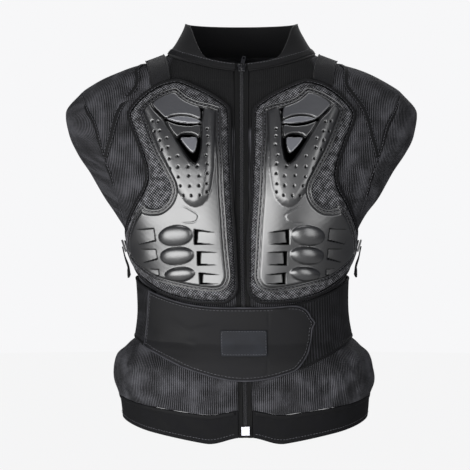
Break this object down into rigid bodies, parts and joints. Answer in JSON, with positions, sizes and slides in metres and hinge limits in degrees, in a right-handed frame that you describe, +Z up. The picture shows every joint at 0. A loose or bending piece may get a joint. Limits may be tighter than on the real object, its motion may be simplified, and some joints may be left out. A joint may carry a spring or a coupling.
{
  "type": "motorcycle armour vest",
  "caption": "Sleeveless zipped mesh vest with padded chest guards under moulded plates, a stand collar, side straps with buckles, a wide waist belt and a plain hem band.",
  "frame": {"origin": "the middle of the shoulders, level with the seam line that rests on the wearer, half way between chest and back of the neck", "axes": "+Z up the wearer's back, -Y out of the wearer's chest, +X to the wearer's left"},
  "size_m": [0.4466, 0.2624, 0.5633],
  "materials": {
    "mesh_cloth": "ribbed stretch mesh, matt",
    "smooth_cloth": "smooth stretch cloth, matt",
    "check_cloth": "small woven check over foam",
    "edging": "woven binding tape",
    "plastic": "satin moulded plastic",
    "webbing": "woven webbing and hook-and-loop tape",
    "metal": "plated zip metal"
  },
  "bodies": {
    "vest": {"front_mesh_right": "mesh_cloth", "front_mesh_left": "mesh_cloth", "skirt_mesh_right": "mesh_cloth", "skirt_mesh_left": "mesh_cloth", "back_mesh": "mesh_cloth", "skirt_mesh_back": "mesh_cloth", "hem_band": "smooth_cloth", "collar": "smooth_cloth", "belt_back": "smooth_cloth", "belt_under_wing": "smooth_cloth", "belt_front_wing": "smooth_cloth", "belt_patch": "smooth_cloth", "chest_pad_right": "check_cloth", "chest_pad_left": "check_cloth", "back_pad": "check_cloth", "armhole_binding_right": "edging", "armhole_binding_left": "edging", "yoke_tape_right": "edging", "yoke_tape_left": "edging", "pad_binding_right": "edging", "pad_binding_left": "edging", "back_pad_binding": "edging", "chest_plate_right": "plastic", "chest_plate_left": "plastic", "side_buckle_right": "plastic", "side_buckle_left": "plastic", "zip_coil": "plastic", "shoulder_strap_right": "webbing", "shoulder_strap_left": "webbing", "side_strap_right": "webbing", "side_strap_left": "webbing", "strap_tail_right": "webbing", "strap_tail_left": "webbing", "zip_tape_right": "webbing", "zip_tape_left": "webbing", "zip_slider": "metal", "zip_box": "metal"},
    "zip_pull": {"zip_pull": "metal"}
  },
  "joints": [
    {"name": "pull_hinge", "type": "hinge", "parent": "vest", "child": "zip_pull", "pos_m": [0, -0.07622, -0.0109], "axis": [0.9744, -0.0725, -0.2129], "range_deg": [0, 170]}
  ]
}
